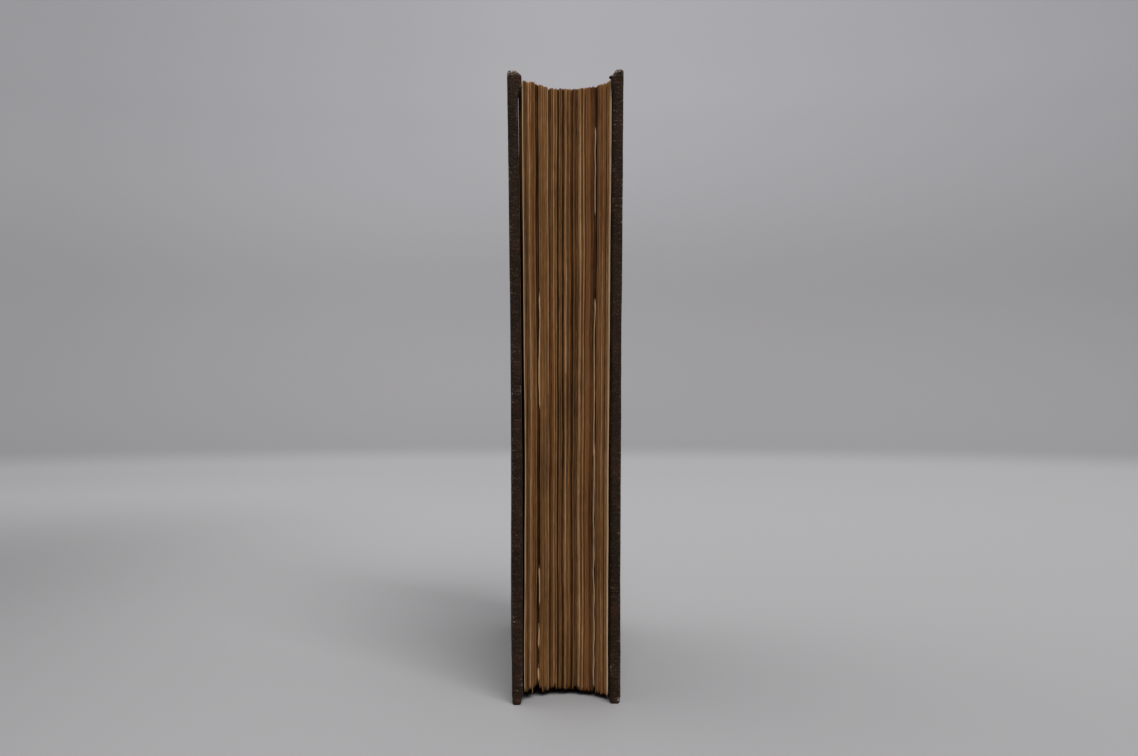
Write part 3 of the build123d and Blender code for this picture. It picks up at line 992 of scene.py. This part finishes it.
def flyleaf(side):
    """The free leaf of one endpaper, with the narrow part that climbs to the joint."""
    fore_steps = leaves_fore_y + np.array([0, 0.7, 1.6, 3, 5, 8, 13, 20])
    ys = np.concatenate([fore_steps, np.linspace(-45, shoulder_y, 12)])
    zs = np.linspace(leaves_tail, leaves_head, flyleaf_rows)
    flat = np.array([[0, y, z] for z in zs for y in ys])
    y, z = flat.T[1:]
    from_edge = y - leaves_fore_y
    from_shoulder = (shoulder_y - y) / (shoulder_y - leaves_fore_y)
    settled = (block_fan(z) + side * block_lean(z)) * from_shoulder
    wave = (1 - smooth(from_edge, 4, 30)) * (0.04 + 0.10 * hills(flat, (30, 30, 24), 41 + side))
    x = leaves_half + settled + flyleaf_thickness + wave

    # In the middle the sheet follows the bowed cover, and leaves it near the fore-edge and the shoulder
    bowed = bows[side] * towards_corner(y, z, bow_power)
    room = np.maximum(pastedown_low + bowed - flyleaf_clearance - x, 0)
    nearer_head = smooth(z, 120, 200)
    x = x + room * smooth(y, -72 - 4.5 * nearer_head, -50 - 20.5 * nearer_head) * (1 - smooth(y, 20, 55))
    worn = 0.3 * hills(flat, (5, 5, 6), 43 + side) * (1 - smooth(from_edge, 0, 2))
    at_head = corner_gain[side] * smooth(z, 200, leaves_head)
    at_tail = corner_loss[side] * (1 - smooth(z, leaves_tail, 14))
    z = z + (1 - smooth(from_edge, 2, 16)) * (at_head + at_tail)
    sheet = np.stack([x, y + worn, z], axis=1).reshape(len(zs), len(ys), 3)

    # Past the shoulder the paper climbs to the joint: how far out and how far back of the shoulder
    climb = [(0.5, 0.6), (1.4, 1.5), (2.3, 2.4), (shoulder_half - leaves_half, hinge_y - shoulder_y - 0.1)]
    climb_x = leaves_half + flyleaf_thickness
    climbing = [[(climb_x + out, shoulder_y + back, z) for out, back in climb] for z in zs]
    sheet = np.concatenate([sheet, climbing], axis=1)
    columns = sheet.shape[1]
    places = sheet.reshape(-1, 3) * np.array([side, 1, 1])
    faces = grid_faces(len(zs), columns, flip=side < 0)
    marks = {"pale_edge": edge_paleness_and_painted_shade[side] * (1 - smooth(places[:, 1] - leaves_fore_y, 0.3, 1.5))}
    made = new_piece(sides[side] + "_flyleaf_sheet", places, faces, endpaper, marks)
    thicken(made, flyleaf_thickness)
    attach(made, "block")
    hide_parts(sides[side] + "_flyleaf")
    return made


flyleaves = [flyleaf(side) for side in (-1, 1)]
print("made", [sheet.name for sheet in flyleaves])

# %% [markdown]
# On the real book the endpaper is one folded sheet that crosses the joint. The imported frame parts it
# there, so a strip of the same paper bridges the gap: from the pastedown round the back edge of the
# board and along the inside of the leather joint.

# %% Paper over the inside of each joint
joint_paper_rows = 60
joint_paper_thickness = 0.1


def joint_paper(side):
    """Paper over one joint. Its route starts on the pastedown and ends under the leather of the joint."""
    on_pastedown = pastedown_low - 0.04
    behind_board = board_y + 0.2
    under_leather = cover_outer - skin_thickness - 0.14
    route = [
        (on_pastedown, board_y - 4.0),
        (on_pastedown, board_y - 0.6),
        (pastedown_low + 0.1, board_y - 0.05),
        (pastedown_low + 0.5, board_y + 0.16),
        (board_low[0] + 0.6, behind_board),
        (under_leather - 0.7, behind_board),
        (under_leather - 0.15, board_y + 0.4),
        (under_leather, board_y + 0.9),
    ]
    route += [(under_leather, y) for y in np.linspace(board_y + 1.4, hinge_y + 0.1, 6)]
    zs = np.linspace(leaves_tail, leaves_head, joint_paper_rows)
    places = np.array([(side * x, y, z) for z in zs for x, y in route])
    places[:, 0] += 0.03 * hills(places, (3, 3, 6), 47 + side)
    name = sides[side] + "_joint_paper"
    paper = new_piece(name, places, grid_faces(len(zs), len(route), flip=side > 0), endpaper)
    thicken(paper, joint_paper_thickness)
    bend_over_joint(paper)
    return paper


joint_papers = [joint_paper(side) for side in (-1, 1)]
print("made", [paper.name for paper in joint_papers])

# %% [markdown]
# ## Torn leaves
# At three places across the block, leaves have torn fore-edges. They stand out pale and wavy beside
# dark gaps, and they give this fore-edge its character. Each is a narrow sheet that starts deep between
# the leaves, and whose ragged edge curls sideways. At its ends it draws back among its neighbours.

# %% Torn leaves
# Name, share of the thickness where it stands, lowest and highest point, sideways curl, and seed
torn_rows = [
    ("torn_leaf_1", 0.193, 106.0, 152.0, -0.55, 51),
    ("torn_leaf_2", 0.190, 33.0, 50.0, -0.45, 52),
    ("torn_leaf_3", 0.187, 17.0, 28.0, -0.6, 53),
    ("torn_leaf_4", 0.838, 2.4, 96.0, 0.6, 54),
    ("torn_leaf_5", 0.836, 88.0, 150.0, 0.45, 55),
    ("torn_leaf_6", 0.836, 178.0, 214.0, 0.35, 56),
    ("torn_leaf_7", 0.500, 118.0, 139.0, 0.3, 57),
    ("torn_leaf_8", 0.188, 4.5, 13.0, -0.6, 58),
]
torn_row_step = 0.8
torn_thickness = 0.24


def torn_leaf(name, share, low, high, curl, seed):
    """A narrow sheet between the leaves, whose depths run back from its ragged fore-edge."""
    zs = np.arange(low, high, torn_row_step)
    depths = np.array([0, 0.25, 0.55, 0.9, 1.4, 2.1, 3.2, 5.0])
    flat = np.array([[0, depth, z] for z in zs for depth in depths])
    depth, z = flat.T[1:]
    line = flat * np.array([0, 0, 1])
    start_x = leaves_half * (2 * share - 1)
    away = hills(line, (1, 1, 26), seed) * 0.25 + hills(line, (1, 1, 8), seed + 10) * 0.14
    bend = curl * np.clip(1 - depth / 2.2, 0, 1) ** 1.6 * (0.8 + 0.6 * hills(line, (1, 1, 6), seed + 20))
    x = start_x * (1 + block_fan(z) / leaves_half) + block_lean(z) + away + bend
    front = hollow_y[np.argmin(np.abs(column_x - start_x))]
    drawn_back = 2.6 * (1 - smooth(z, low, low + 2.5) * (1 - smooth(z, high - 5, high)))
    ragged = 0.35 * hills(line, (1, 1, 3.0), seed + 30) + 0.22 * hills(line, (1, 1, 1.1), seed + 40)
    y = front - 0.35 + drawn_back + ragged + depth
    places = np.stack([x, y, z], axis=1)
    # Deeper in among the leaves the torn sheet gets painted shade
    marks = {
        "pale": 1.15 - 0.35 * smooth(depth, 0, 2) + 0.2 * hills(line, (1, 1, 4), seed + 50),
        "warm": np.full(len(places), 0.1),
        "sunk": 0.6 * smooth(depth, 1.2, 3.0),
    }
    sheet = new_piece(name, places, grid_faces(len(zs), len(depths)), leaf_edges, marks)
    thicken(sheet, torn_thickness)
    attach(sheet, "block")
    return sheet


torn_leaves = [torn_leaf(*row) for row in torn_rows]
print("torn leaves:", len(torn_leaves))

# %% [markdown]
# ## End bands
# A strip of cord at the head and the tail of the spine, wound with two colours of linen thread in turn.
# The winding is modelled: each turn of thread is a ridge that runs round the core at a slant, so it
# catches the light from any side. A mark carries which of the two threads a turn is.

# %% Finish of the thread
thread_light = shade(168, 142, 100)
thread_dark = shade(98, 54, 36)
thread_shadow = shade(44, 28, 18)
thread_dust = shade(92, 74, 54)


def thread_finish():
    thread = Finish("end_band_finish", shine=0.2)
    place = thread.place()
    fibres = thread.clouds(place, 4.4)
    dust = thread.clouds(place, 0.4, 3.0)
    colour = thread.mix(thread.mark("dark_thread"), thread_light, thread_dark)
    colour = thread.mix((1 - thread.mark("ridge")) * 0.7 + (fibres - 0.5) * 0.4, colour, thread_shadow)
    colour = thread.mix(thread.step(dust, 0.45, 0.75) * 0.4, colour, thread_dust)
    return thread.done(colour, 0.7 + 0.2 * fibres, fibres, depth=0.06)


thread = thread_finish()

# %% Wind the end bands
band_reach = math.radians(50)
band_half_depth = 1.0
band_turns = 58
turns_of_one_thread = 4
turn_steps = 8
ring_points = 14


def end_band(node):
    """Rings of points along the arc of the back, which swell wherever a turn of thread passes."""
    low, high = node_box(node)
    middle_z = (low[2] + high[2]) / 2
    half_tall = (high[2] - low[2]) / 2
    core_radius = high[1] - back_centre_y - band_half_depth
    rings = band_turns * turn_steps + 1
    turn = np.arange(rings)[:, None] / turn_steps
    around = np.linspace(0, 2 * math.pi, ring_points + 1)[:-1]
    wound = turn + around / (2 * math.pi)
    ridge = np.abs(np.sin(math.pi * wound)) ** 0.6
    size = 0.85 + 0.15 * ridge
    angle = band_reach * (2 * turn / band_turns - 1)
    radius = core_radius + band_half_depth * size * np.cos(around)
    y = back_centre_y + radius * np.cos(angle)
    z = middle_z + half_tall * size * np.sin(around)
    points = np.stack([radius * np.sin(angle), y, z], axis=2).reshape(-1, 3)
    faces = tube_faces(rings, ring_points, flip=True)
    marks = {"ridge": ridge, "dark_thread": wound // turns_of_one_thread % 2}
    band = new_piece(node + "_wound", points, faces, thread, marks)
    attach(band, "block")
    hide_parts(node)
    return band


end_bands = [end_band(node) for node in ("head_band", "tail_band")]
print("each end band has", len(end_bands[0].data.polygons), "faces")

# %% [markdown]
# ## Pieces that stay as packed
# The boards, the cords, their slips, the linings and the pastedowns already have their right shape, and
# little of them shows. They keep their meshes and get a finish each: layered pasteboard, twisted hemp,
# and paper.

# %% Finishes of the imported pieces
board_brown = shade(118, 98, 74)
board_tan = shade(154, 132, 104)
board_deep = shade(84, 66, 48)
hemp_deep = shade(92, 70, 44)
hemp_pale = shade(168, 140, 98)
lining_tan = shade(158, 132, 96)
lining_deep = shade(86, 64, 42)
glue_brown = shade(112, 82, 50)


def pasteboard_finish():
    board = Finish("pasteboard_finish", shine=0.05)
    place = board.place(False)
    layers = board.clouds(place, (6.0, 0.08, 0.08), 3.0)
    fibres = board.clouds(place, (1.6, 1.6, 0.48), 5.0)
    colour = board.mix(layers, board_brown, board_tan)
    colour = board.mix(fibres * 0.35, colour, board_deep)
    return board.done(colour, 0.92 - 0.1 * fibres, fibres * 0.6 + layers * 0.4, depth=0.12)


def hemp_finish():
    hemp = Finish("hemp_cord_finish", shine=0.08)
    place = hemp.place(False)
    sockets = {"Vector": place, "Scale": 0.45, "Distortion": 1.6, "Detail": 2.0}
    twist = hemp.node("TexWave", {"bands_direction": "DIAGONAL"}, sockets, 1)
    fibres = hemp.clouds(place, 3.0)
    colour = hemp.mix(twist * 0.7 + (fibres - 0.5) * 0.5, hemp_deep, hemp_pale)
    return hemp.done(colour, 0.9 - 0.1 * fibres, twist * 0.7 + fibres * 0.3, depth=0.2)


def lining_finish():
    paper = Finish("lining_paper_finish", shine=0.05)
    place = paper.place(False)
    glue = paper.clouds(place, 0.12)
    fibres = paper.clouds(place, 2.4)
    colour = paper.mix(paper.step(glue, 0.4, 0.7), lining_tan, glue_brown)
    colour = paper.mix(fibres * 0.3, colour, lining_deep)
    return paper.done(colour, 0.86 - 0.1 * fibres, fibres, depth=0.05)


packed_finishes = {
    "board": pasteboard_finish(),
    "sewing_cord": hemp_finish(),
    "lining_paper": lining_finish(),
    "endpaper": endpaper_finish("pastedown_finish", False),
}
replaced = {"text_block", "spine_leather", "head_band", "tail_band"}
replaced |= {f"{side}_{kind}" for side in sides.values() for kind in ("leather", "flyleaf")}
kept_rows = [row for row in frame["record"]["subparts"] if row["node"] not in replaced]
for row in kept_rows:
    for held in bpy.data.objects[row["node"]].material_slots:
        held.material = packed_finishes[row["material_slot"]]
print("dressed", len(kept_rows), "packed pieces")

# %% [markdown]
# ## Stage, light and camera
# A pale grey sweep of paper: flat round the book, then curved up into a wall on every side, so that it
# also closes the view from behind. Its grey is painted darker low on the wall and paler high up, painted
# shade and light. The light is soft and comes mostly from the front and above.

# %% Stage
floor_grey = shade(151, 150, 151)
low_wall_painted_shade = shade(129, 128, 130)
high_wall_painted_light = shade(163, 162, 165)
soft_grey = shade(150, 150, 152)
floor_reach = 1340
cove_radius = 700
wall_height = 1250
sweep_columns = 97


def stage_finish():
    paper = Finish("sweep_finish", shine=0.0)
    place = paper.place()
    across, depth, height = [paper.axis(place, number) for number in range(3)]
    soft = paper.clouds(place, 0.0014, 2.0)
    # Painted shade and light: the one sheet of paper is greyer low on the wall and paler high up
    wall = paper.mix(paper.step(height, 300, 800), low_wall_painted_shade, high_wall_painted_light)
    colour = paper.mix(paper.step(height, 0, 30), floor_grey, wall)

    # The paper falls off into shade on its left: near the book, far behind it and high up the wall
    far = paper.step(depth, 150, 900)
    near_shade = (1 - paper.step(across, -420, -60)) * (1 - far)
    far_shade = (1 - paper.step(across, -1000, -150)) * far * 0.4
    high_shade = (1 - paper.step(across, -300, 150)) * paper.step(height, 400, 800) * 0.27
    colour = paper.mix(near_shade + far_shade + high_shade, colour, (0.6, 0.6, 0.6), "MULTIPLY")
    return paper.done(paper.mix(soft * 0.12, colour, soft_grey), 0.95)


def sweep():
    """A profile of (distance from the book, height) turned once round the book."""
    turns = np.radians(np.linspace(0, 90, 13))
    profile = [(floor_reach * share, 0.0) for share in (0.0005, 0.1, 0.25, 0.5, 0.75)]
    profile += [(floor_reach + cove_radius * math.sin(a), cove_radius * (1 - math.cos(a))) for a in turns]
    wall_x = floor_reach + cove_radius
    profile += [(wall_x, cove_radius + (wall_height - cove_radius) * share) for share in (0.33, 0.66, 1.0)]
    around = np.linspace(0, 2 * math.pi, sweep_columns)
    points = np.array([(r * math.cos(a), r * math.sin(a), z) for r, z in profile for a in around])
    return new_piece("sweep", points, grid_faces(len(profile), len(around), flip=True), stage_finish())


stage = sweep()

# %% Lamps and world
def window(name, towards, width, strength):
    """Soft daylight that comes from a direction, as wide as the given angle in degrees."""
    data = bpy.data.lights.new(name, "SUN")
    data.angle = math.radians(width)
    data.energy = strength
    made = bpy.data.objects.new(name, data)
    made.rotation_euler = Vector(towards).to_track_quat("Z", "Y").to_euler()
    bpy.context.scene.collection.objects.link(made)


window("front_window", (0.28, -1.0, 1.0), 40, 3.3)
window("back_window", (-0.6, 1.0, 1.5), 70, 0.9)
world = bpy.data.worlds.new("soft_room")
world.use_nodes = True
background = world.node_tree.nodes["Background"]
background.inputs["Color"].default_value = (0.95, 0.95, 0.96, 1)
background.inputs["Strength"].default_value = 0.7
bpy.context.scene.world = world
bpy.context.scene.view_settings.view_transform = "Standard"

# %% Camera
picture_width = 1138
camera_place = (-21.35, -506.1, 111.7)
camera_turn = -3.0
focal_pixels = 1170.0
horizon_drop = 19.0

camera = bpy.data.cameras.new("camera")
camera.sensor_width = 36
camera.lens = focal_pixels / picture_width * camera.sensor_width
camera.shift_y = horizon_drop / picture_width
camera_object = bpy.data.objects.new("camera", camera)
camera_object.location = [value * mm for value in camera_place]
camera_object.rotation_euler = (math.radians(90), 0, math.radians(camera_turn))
bpy.context.scene.collection.objects.link(camera_object)
bpy.context.scene.camera = camera_object
